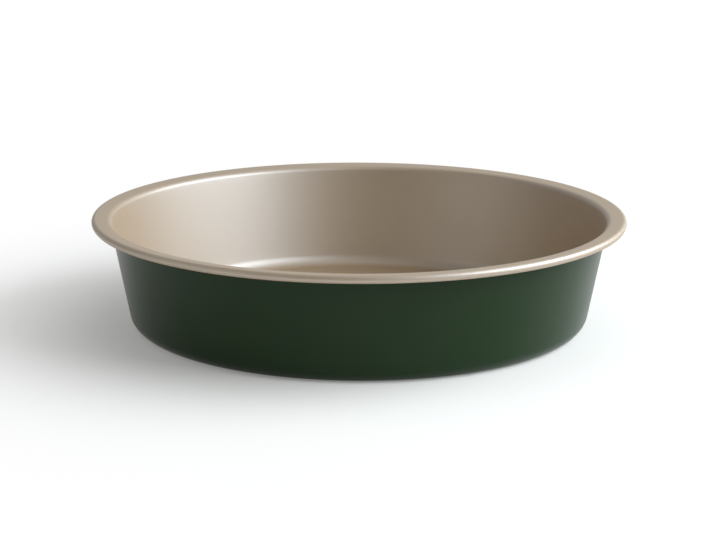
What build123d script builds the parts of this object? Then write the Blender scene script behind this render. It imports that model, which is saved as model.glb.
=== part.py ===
from build123d import *
from math import atan2, cos, degrees, radians, sin
import os

# Round cake tin, pressed from one disc of steel that is coated on both sides.
# Millimetres, +Z up. The origin is the centre of the base, on the surface that the tin stands on.

# Driving dimensions of the whole tin. The wall's outer face, carried straight on to both ends, is
# flange_reach inside the rim at the mouth's height, and wall_flare further in at the base's.
overall_height = 54.0
rim_radius = 130.0
flange_reach = 8.4
wall_flare = 10.4

# The flange rises outwards by this many degrees, so the bead is the highest point of the tin
flange_slope = 6

# The sheet: a steel core, with a coat bonded on each side
steel_thickness = 0.6
lining_thickness = 0.1
outer_coat_thickness = 0.1

# Bends, each measured on the green side, which is the outer face of the wall
base_corner_radius = 8.0
lip_bend_radius = 2.2

# The wired edge: the sheet's rim rolled round a ring of wire
wire_radius = 1.0
wire_clearance = 0.05
wire_end_gap = 0.6
curl_wrap = 290

# The wall's outer face at the base, and how far it leans from upright
base_radius = rim_radius - flange_reach - wall_flare
wall_lean = atan2(wall_flare, overall_height)

# Depths into the sheet, from the green side
steel_depth = outer_coat_thickness
lining_depth = steel_depth + steel_thickness
sheet_thickness = lining_depth + lining_thickness

# Centre of the base corner: one corner radius above the base and inside the wall's face
corner_centre = Vector(
    base_radius - base_corner_radius * (1 - sin(wall_lean)) / cos(wall_lean),
    base_corner_radius,
)

# Centre of the curl, and of the wire in it
curl_inner_radius = wire_radius + wire_clearance
curl_centre = Vector(
    rim_radius - curl_inner_radius - sheet_thickness,
    overall_height - curl_inner_radius - sheet_thickness,
)

# Centre of the bend under the flange. It lies one bend radius outside the wall's face, on a line
# that runs up beside the wall, and is carried up that line until the flange is tangent to the curl.
wall_up = Vector(sin(wall_lean), cos(wall_lean))
wall_out = Vector(cos(wall_lean), -sin(wall_lean))
flange_up = Vector(-sin(radians(flange_slope)), cos(radians(flange_slope)))
line_start = Vector(base_radius, 0) + wall_out * lip_bend_radius
climb = curl_inner_radius - lip_bend_radius + (curl_centre - line_start).dot(flange_up)
lip_centre = line_start + wall_up * (climb / wall_up.dot(flange_up))


def sheet_face(depth):
    """Draw the sheet's section at one depth from its green side, from the axis out to the curl's end."""
    corner_radius = base_corner_radius - depth
    bend_radius = lip_bend_radius + depth
    curl_radius = curl_inner_radius + depth
    lean = degrees(wall_lean)
    base = Line((0, depth), (corner_centre.X, depth))
    corner = CenterArc(corner_centre, corner_radius, -90, 90 - lean)
    bend = CenterArc(lip_centre, bend_radius, 180 - lean, lean + flange_slope - 90)
    Line(corner @ 1, bend @ 0)
    curl = CenterArc(curl_centre, curl_radius, 90 + flange_slope, -curl_wrap)
    Line(bend @ 1, curl @ 0)
    return base @ 0, curl @ 1


# The pressed steel: base, corner, flaring wall, flange and rolled edge in one sheet
with BuildPart() as steel_pan:
    with BuildSketch(Plane.XZ):
        with BuildLine():
            under_axis, under_edge = sheet_face(steel_depth)
            over_axis, over_edge = sheet_face(lining_depth)
            Line(under_axis, over_axis)
            Line(under_edge, over_edge)
        make_face()
    revolve(axis=Axis.Z)
steel_pan.part.label = "steel_pan"

# The champagne non-stick coat, on the side that becomes the inside, the flange's top and the bead
with BuildPart() as nonstick_lining:
    with BuildSketch(Plane.XZ):
        with BuildLine():
            under_axis, under_edge = sheet_face(lining_depth)
            over_axis, over_edge = sheet_face(sheet_thickness)
            Line(under_axis, over_axis)
            Line(under_edge, over_edge)
        make_face()
    revolve(axis=Axis.Z)
nonstick_lining.part.label = "nonstick_lining"

# The green coat, on the side that becomes the outside and runs on inside the bead
with BuildPart() as outer_coat:
    with BuildSketch(Plane.XZ):
        with BuildLine():
            under_axis, under_edge = sheet_face(0)
            over_axis, over_edge = sheet_face(steel_depth)
            Line(under_axis, over_axis)
            Line(under_edge, over_edge)
        make_face()
    revolve(axis=Axis.Z)
outer_coat.part.label = "outer_coat"

# The ring of wire in the bead, bent from one length whose ends meet at a small gap
with BuildPart() as rim_wire:
    with BuildSketch(Plane.XZ):
        with Locations(curl_centre):
            Circle(wire_radius)
    revolve(axis=Axis.Z, revolution_arc=360 - degrees(wire_end_gap / curl_centre.X))
rim_wire.part.label = "rim_wire"

os.makedirs("parts", exist_ok=True)
export_step(steel_pan.part, "parts/steel_pan.step")
export_step(nonstick_lining.part, "parts/nonstick_lining.step")
export_step(outer_coat.part, "parts/outer_coat.step")
export_step(rim_wire.part, "parts/rim_wire.step")
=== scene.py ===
from math import atan2, cos, pi, radians, sin

import bmesh
import bpy
from mathutils import Matrix, Vector


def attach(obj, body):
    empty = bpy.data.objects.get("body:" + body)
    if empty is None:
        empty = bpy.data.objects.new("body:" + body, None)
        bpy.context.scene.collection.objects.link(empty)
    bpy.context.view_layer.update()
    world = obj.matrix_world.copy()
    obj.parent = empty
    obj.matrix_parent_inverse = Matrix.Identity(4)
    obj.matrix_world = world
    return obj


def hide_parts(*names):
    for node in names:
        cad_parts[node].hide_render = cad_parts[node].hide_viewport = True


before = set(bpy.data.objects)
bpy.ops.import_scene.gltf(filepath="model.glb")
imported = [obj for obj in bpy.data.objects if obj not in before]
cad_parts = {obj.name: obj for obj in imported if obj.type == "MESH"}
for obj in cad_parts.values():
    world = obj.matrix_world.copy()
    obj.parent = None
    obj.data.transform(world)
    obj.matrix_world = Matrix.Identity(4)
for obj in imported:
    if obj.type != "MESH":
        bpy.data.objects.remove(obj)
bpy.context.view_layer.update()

# The steel pan: one disc of 0.6 mm cold-rolled steel, drawn over a punch into a flat base, a rounded
# corner and a flaring wall, then trimmed, turned out into a flange and rolled round a wire.
# Both its faces are coated, so only the cut edge inside the rolled bead is bare.
# The tin's sizes are in millimetres, and MM turns them to the scene's metres.
MM = 0.001
steel_thickness = 0.6
overall_height = 54
rim_radius = 130
flange_reach = 8.4
flange_slope = radians(6)
wall_flare = 10.4
lining_thickness = 0.1
outer_coat_thickness = 0.1
base_corner_radius = 8
lip_bend_radius = 2.2
wire_radius = 1
wire_clearance = 0.05
curl_wrap = radians(290)
turn_steps = 384
bend_steps = 14
curl_steps = 40
steel_hex = "#8E8E8C"
rolling_line_width = 0.8
rolling_line_length = 30
rolling_line_depth = 0.002


def linear(hex_colour):
    """The linear colour, with alpha, of an sRGB hex value."""
    values = [int(hex_colour[i:i + 2], 16) / 255 for i in (1, 3, 5)]
    return [v / 12.92 if v <= 0.04045 else ((v + 0.055) / 1.055) ** 2.4 for v in values] + [1]


def per(size):
    """The scale that makes a texture's features about this many millimetres across."""
    return 1 / (size * MM)


def add(tree, kind, inputs=None, **settings):
    """Add one node to a material or the world, with its settings, and its inputs set or linked."""
    made = tree.nodes.new(kind)
    for name, value in settings.items():
        setattr(made, name, value)
    for name, value in (inputs or {}).items():
        if isinstance(value, bpy.types.NodeSocket):
            tree.links.new(value, made.inputs[name])
        else:
            made.inputs[name].default_value = value
    return made


def new_material(name):
    """An empty material, with its tree."""
    material = bpy.data.materials.new(name)
    material.use_nodes = True
    material.node_tree.nodes.clear()
    return material, material.node_tree


def finish_material(tree, surface):
    """Send a shader to the material's output."""
    add(tree, "ShaderNodeOutputMaterial", {"Surface": surface.outputs[0]})


def dress(piece, material):
    """Give the whole piece one material."""
    piece.data.materials.clear()
    piece.data.materials.append(material)


# The section: depths into the sheet from its green side, and the centres of its three bends. The
# bend under the flange moves up beside the wall until the flange is tangent to the curl.
lining_depth = outer_coat_thickness + steel_thickness
sheet_thickness = lining_depth + lining_thickness
base_radius = rim_radius - flange_reach - wall_flare
wall_lean = atan2(wall_flare, overall_height)
corner_centre = Vector((
    base_radius - base_corner_radius * (1 - sin(wall_lean)) / cos(wall_lean),
    base_corner_radius,
))
curl_inner_radius = wire_radius + wire_clearance
curl_centre = Vector((
    rim_radius - curl_inner_radius - sheet_thickness,
    overall_height - sheet_thickness - curl_inner_radius,
))
wall_up = Vector((sin(wall_lean), cos(wall_lean)))
flange_up = Vector((-sin(flange_slope), cos(flange_slope)))
bend_line = Vector((base_radius, 0)) + Vector((wall_up.y, -wall_up.x)) * lip_bend_radius
bend_rise = curl_inner_radius - lip_bend_radius + (curl_centre - bend_line).dot(flange_up)
lip_centre = bend_line + wall_up * bend_rise / cos(wall_lean + flange_slope)


def arc(centre, radius, start, sweep, steps):
    """Points along an arc of the section."""
    angles = [start + sweep * i / steps for i in range(steps + 1)]
    return [(centre[0] + radius * cos(a), centre[1] + radius * sin(a)) for a in angles]


def spaced(start, end, steps):
    """Points inside a straight run, drawn towards its two ends so that the bends stay crisp."""
    shares = [(1 - cos(pi * i / steps)) / 2 for i in range(1, steps)]
    return [tuple(a + (b - a) * share for a, b in zip(start, end)) for share in shares]


def sheet_face(depth):
    """The sheet's section at one depth from its green side, from the axis out to the curl's end."""
    corner_turn = pi / 2 - wall_lean
    bend_turn = wall_lean + flange_slope - pi / 2
    corner = arc(corner_centre, base_corner_radius - depth, -pi / 2, corner_turn, bend_steps)
    bend = arc(lip_centre, lip_bend_radius + depth, pi - wall_lean, bend_turn, bend_steps)
    curl = arc(curl_centre, curl_inner_radius + depth, pi / 2 + flange_slope, -curl_wrap, curl_steps)
    points = [(0, depth)]
    for bent, straight_steps in ((corner, 6), (bend, 6), (curl, 3)):
        points += spaced(points[-1], bent[0], straight_steps)
        points += bent
    return points


def turned(name, near_depth, far_depth):
    """One layer of the sheet, turned round the tin's axis, with its cut edges kept sharp."""
    near = sheet_face(near_depth)
    far = sheet_face(far_depth)
    outline = near + far[::-1]
    mesh_builder = bmesh.new()
    rings = []
    for radius, height in outline:
        if radius == 0:
            rings.append([mesh_builder.verts.new((0, 0, height * MM))] * turn_steps)
            continue
        turns = [2 * pi * i / turn_steps for i in range(turn_steps)]
        rings.append([
            mesh_builder.verts.new((radius * cos(t) * MM, radius * sin(t) * MM, height * MM))
            for t in turns
        ])
    for inner, outer in zip(rings, rings[1:]):
        for i in range(turn_steps):
            j = (i + 1) % turn_steps
            corners = dict.fromkeys((inner[i], inner[j], outer[j], outer[i]))
            mesh_builder.faces.new(corners).smooth = True
    bmesh.ops.recalc_face_normals(mesh_builder, faces=mesh_builder.faces)
    for ring in (rings[len(near) - 1], rings[len(near)]):
        for i in range(turn_steps):
            edge = mesh_builder.edges.get((ring[i], ring[(i + 1) % turn_steps]))
            edge.smooth = False
    mesh = bpy.data.meshes.new(name)
    mesh_builder.to_mesh(mesh)
    mesh_builder.free()
    piece = bpy.data.objects.new(name, mesh)
    bpy.context.scene.collection.objects.link(piece)
    return piece


# Cold-rolled steel is grey and satin, with fine lines along the way that it was rolled. Real ones are
# too fine to show, so they are drawn 0.8 mm apart.
cold_rolled_steel, tree = new_material("cold_rolled_steel")
place = add(tree, "ShaderNodeTexCoord").outputs["Object"]
along = add(tree, "ShaderNodeMapping", {
    "Vector": place,
    "Scale": (per(rolling_line_length), per(rolling_line_width), per(rolling_line_width)),
})
lines = add(tree, "ShaderNodeTexNoise", {"Vector": along.outputs[0], "Scale": 1, "Detail": 3})
sheen = add(tree, "ShaderNodeMapRange", {"Value": lines.outputs[0], "To Min": 0.28, "To Max": 0.42})
ridges = add(tree, "ShaderNodeBump", {
    "Height": lines.outputs[0], "Strength": 0.4, "Distance": rolling_line_depth * MM,
})
finish_material(tree, add(tree, "ShaderNodeBsdfPrincipled", {
    "Base Color": linear(steel_hex),
    "Metallic": 1,
    "Roughness": sheen.outputs[0],
    "Normal": ridges.outputs[0],
}))

steel_pan = turned("steel_pan_sheet", outer_coat_thickness, lining_depth)
dress(steel_pan, cold_rolled_steel)
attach(steel_pan, "root")
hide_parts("steel_pan")

# The non-stick lining: a champagne film baked on the side of the sheet that becomes the inside. It
# was on the sheet before pressing, so it runs over the flange and round the outside of the bead.
champagne_hex = "#8E6F41"
champagne_deep_hex = "#88693B"
champagne_drift = 35
flake_size = 0.45
peel_size = 1.3
peel_depth = 0.004

# Champagne non-stick is a satin pigmented film with fine mica in it, and dries to a faint peel. The
# mica gives a broad, nearly neutral sheen, stronger than a plain film's, so the IOR is a high one.
# Its flakes are about 0.05 mm, too fine to show, so they are drawn at 0.45 mm.
champagne_nonstick, tree = new_material("champagne_nonstick")
place = add(tree, "ShaderNodeTexCoord").outputs["Object"]
drift = add(tree, "ShaderNodeTexNoise", {"Vector": place, "Scale": per(champagne_drift), "Detail": 3})
flakes = add(tree, "ShaderNodeTexVoronoi", {"Vector": place, "Scale": per(flake_size)})
peel = add(tree, "ShaderNodeTexNoise", {"Vector": place, "Scale": per(peel_size), "Detail": 2})
tone = add(tree, "ShaderNodeMix", {
    "Factor": drift.outputs[0],
    "A": linear(champagne_hex),
    "B": linear(champagne_deep_hex),
}, data_type="RGBA")
flake_value = add(tree, "ShaderNodeSeparateColor", {"Color": flakes.outputs["Color"]})
flake_light = add(tree, "ShaderNodeMapRange", {
    "Value": flake_value.outputs[0], "To Min": 0.95, "To Max": 1.05,
})
flaked = add(tree, "ShaderNodeHueSaturation", {
    "Color": tone.outputs["Result"], "Value": flake_light.outputs[0],
})
satin = add(tree, "ShaderNodeMapRange", {"Value": drift.outputs[0], "To Min": 0.48, "To Max": 0.54})
surface = add(tree, "ShaderNodeBump", {
    "Height": peel.outputs[0], "Strength": 0.5, "Distance": peel_depth * MM,
})
finish_material(tree, add(tree, "ShaderNodeBsdfPrincipled", {
    "Base Color": flaked.outputs[0],
    "Roughness": satin.outputs[0],
    "IOR": 2.3,
    "Specular IOR Level": 1,
    "Normal": surface.outputs[0],
}))

nonstick_lining = turned("nonstick_lining_film", lining_depth, sheet_thickness)
dress(nonstick_lining, champagne_nonstick)
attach(nonstick_lining, "root")
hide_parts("nonstick_lining")

# The green coat: a dark enamel baked on the other side, which becomes the underside, the outside of
# the wall and the flange's underside. It ends inside the bead, against the wire.
green_hex = "#1C3118"
green_deep_hex = "#192D15"
green_drift = 45
green_peel_size = 1.6
green_peel_depth = 0.005

# Baked enamel is smooth and semi-gloss, with a slight orange peel that softens its reflections. They
# are weak on this dark green, so the IOR is a low one.
green_enamel, tree = new_material("green_enamel")
place = add(tree, "ShaderNodeTexCoord").outputs["Object"]
drift = add(tree, "ShaderNodeTexNoise", {"Vector": place, "Scale": per(green_drift), "Detail": 3})
peel = add(tree, "ShaderNodeTexNoise", {"Vector": place, "Scale": per(green_peel_size), "Detail": 2})
tone = add(tree, "ShaderNodeMix", {
    "Factor": drift.outputs[0],
    "A": linear(green_hex),
    "B": linear(green_deep_hex),
}, data_type="RGBA")
gloss = add(tree, "ShaderNodeMapRange", {"Value": drift.outputs[0], "To Min": 0.27, "To Max": 0.34})
surface = add(tree, "ShaderNodeBump", {
    "Height": peel.outputs[0], "Strength": 0.5, "Distance": green_peel_depth * MM,
})
finish_material(tree, add(tree, "ShaderNodeBsdfPrincipled", {
    "Base Color": tone.outputs["Result"],
    "Roughness": gloss.outputs[0],
    "IOR": 1.26,
    "Normal": surface.outputs[0],
}))

outer_coat = turned("outer_coat_film", 0, outer_coat_thickness)
dress(outer_coat, green_enamel)
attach(outer_coat, "root")
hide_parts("outer_coat")

# The rim wire: a 2 mm ring of drawn steel wire, cut from a coil and bent round until its ends meet.
# The flange is rolled round it, so it stiffens the mouth and is closed in all the way.
wire_hex = "#7F7F7D"
draw_line_width = 0.15
draw_line_length = 12

# Drawn wire is bright, with fine lines along its length that the die left. Real ones are finer than
# 0.15 mm, too fine to show.
drawn_wire, tree = new_material("drawn_steel_wire")
place = add(tree, "ShaderNodeTexCoord").outputs["Object"]
axes = add(tree, "ShaderNodeSeparateXYZ", {0: place}).outputs
reach = add(tree, "ShaderNodeVectorMath", {0: place}, operation="LENGTH")
round_ring = add(tree, "ShaderNodeMath", {0: axes["Y"], 1: axes["X"]}, operation="ARCTAN2")
along_wire = add(tree, "ShaderNodeCombineXYZ", {
    "X": reach.outputs["Value"], "Y": round_ring.outputs[0], "Z": axes["Z"],
})
along_wire = add(tree, "ShaderNodeMapping", {
    "Vector": along_wire.outputs[0],
    "Scale": (per(draw_line_width), curl_centre.x / draw_line_length, per(draw_line_width)),
})
lines = add(tree, "ShaderNodeTexNoise", {"Vector": along_wire.outputs[0], "Scale": 1, "Detail": 2})
sheen = add(tree, "ShaderNodeMapRange", {"Value": lines.outputs[0], "To Min": 0.22, "To Max": 0.36})
finish_material(tree, add(tree, "ShaderNodeBsdfPrincipled", {
    "Base Color": linear(wire_hex),
    "Metallic": 1,
    "Roughness": sheen.outputs[0],
}))
dress(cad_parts["rim_wire"], drawn_wire)

# The floor: a wide sheet of white paper that the tin stands on. It isn't part of the tin.
floor_half = 4
floor_hex = "#F6F3EE"
lit_radius = 0.12
white_radius = 0.3
least_white = 0.18
floor_mesh = bpy.data.meshes.new("floor")
floor_mesh.from_pydata(
    [(-floor_half, -floor_half, 0), (floor_half, -floor_half, 0),
     (floor_half, floor_half, 0), (-floor_half, floor_half, 0)],
    [], [(0, 1, 2, 3)],
)
floor = bpy.data.objects.new("floor", floor_mesh)
bpy.context.scene.collection.objects.link(floor)

# Matt white paper. Away from the tin it is seen as white, and near it mostly as lit, so that it
# keeps the tin's shadow.
matt_paper, tree = new_material("matt_paper")
rays = add(tree, "ShaderNodeLightPath").outputs
seen = add(tree, "ShaderNodeMath", {
    0: rays["Is Camera Ray"], 1: rays["Is Glossy Ray"],
}, operation="MAXIMUM")
seen = add(tree, "ShaderNodeMath", {
    0: seen.outputs[0], 1: rays["Is Transmission Ray"],
}, operation="MAXIMUM")
place = add(tree, "ShaderNodeTexCoord").outputs["Object"]
away = add(tree, "ShaderNodeVectorMath", {0: place}, operation="LENGTH")
away = add(tree, "ShaderNodeMapRange", {
    "Value": away.outputs["Value"],
    "From Min": lit_radius,
    "From Max": white_radius,
    "To Min": least_white,
}, interpolation_type="SMOOTHSTEP")
whiten = add(tree, "ShaderNodeMath", {0: seen.outputs[0], 1: away.outputs[0]}, operation="MULTIPLY")
lit = add(tree, "ShaderNodeBsdfPrincipled", {"Base Color": linear(floor_hex), "Roughness": 0.9})
white = add(tree, "ShaderNodeEmission", {"Color": (1, 1, 1, 1), "Strength": 1})
finish_material(tree, add(tree, "ShaderNodeMixShader", {
    0: whiten.outputs[0], 1: lit.outputs[0], 2: white.outputs[0],
}))
dress(floor, matt_paper)

# Light: a wide soft box at the right that leans over the tin and a weak one at the left, in a room
# that is brightest behind the tin and to its right, and dimmest in front and at the left. Places and
# sizes are in metres.
room_dim = 0.07
room_bright = 0.82
room_bright_side = (0.65, 0.7, 0.2)
room_colour = (0.94, 0.97, 1, 1)
world = bpy.data.worlds.new("studio")
bpy.context.scene.world = world
world.use_nodes = True
world.node_tree.nodes.clear()
tree = world.node_tree
way = add(tree, "ShaderNodeTexCoord").outputs["Generated"]
side = add(tree, "ShaderNodeVectorMath", {0: way, 1: room_bright_side}, operation="DOT_PRODUCT")
room_strength = add(tree, "ShaderNodeMapRange", {
    "Value": side.outputs["Value"],
    "From Min": -1,
    "From Max": 1,
    "To Min": room_dim,
    "To Max": room_bright,
}, interpolation_type="SMOOTHSTEP")
room = add(tree, "ShaderNodeBackground", {
    "Color": room_colour, "Strength": room_strength.outputs[0],
})
add(tree, "ShaderNodeOutputWorld", {"Surface": room.outputs[0]})

daylight = (0.86, 0.94, 1)
warm_bounce = (1, 0.99, 0.9)
tin_middle = Vector((0, 0, 0.03))


def soft_box(name, place, width, height, power, colour):
    """A rectangular soft light at a place, aimed at the middle of the tin."""
    data = bpy.data.lights.new(name, "AREA")
    data.shape = "RECTANGLE"
    data.size = width
    data.size_y = height
    data.energy = power
    data.color = colour
    lamp = bpy.data.objects.new(name, data)
    lamp.location = place
    lamp.rotation_mode = "QUATERNION"
    lamp.rotation_quaternion = (tin_middle - Vector(place)).to_track_quat("-Z", "Y")
    bpy.context.scene.collection.objects.link(lamp)


soft_box("key_light", (0.97, -0.1, 0.64), width=1.5, height=0.7, power=21.5, colour=daylight)
soft_box("fill_light", (-0.86, -0.4, 0.42), width=1, height=0.7, power=1.6, colour=warm_bounce)

# The camera: the photograph's viewpoint, a long lens about a metre away and a little above the tin.
# The photo_ values are in the photograph's pixels.
view_distance = 1.03
view_elevation = radians(13.78)
view_roll = 0.0028
view_height = 0.026
photo_width = 716
photo_focal = 2092
photo_middle = (358, 270)
photo_axis = (359.0, 267.8)
look = Vector((0, cos(view_elevation), -sin(view_elevation)))
level = Vector((1, 0, 0))
above = Vector((0, sin(view_elevation), cos(view_elevation)))
right = level * cos(view_roll) + above * sin(view_roll)
up = above * cos(view_roll) - level * sin(view_roll)
camera_data = bpy.data.cameras.new("camera")
camera_data.sensor_width = 36
camera_data.lens = photo_focal * camera_data.sensor_width / photo_width
camera_data.shift_x = (photo_middle[0] - photo_axis[0]) / photo_width
camera_data.shift_y = (photo_axis[1] - photo_middle[1]) / photo_width
camera = bpy.data.objects.new("camera", camera_data)
turn = Matrix((right, up, -look)).transposed().to_4x4()
camera.matrix_world = Matrix.Translation(Vector((0, 0, view_height)) - look * view_distance) @ turn
bpy.context.scene.collection.objects.link(camera)
bpy.context.scene.camera = camera
bpy.context.scene.view_settings.view_transform = "Standard"
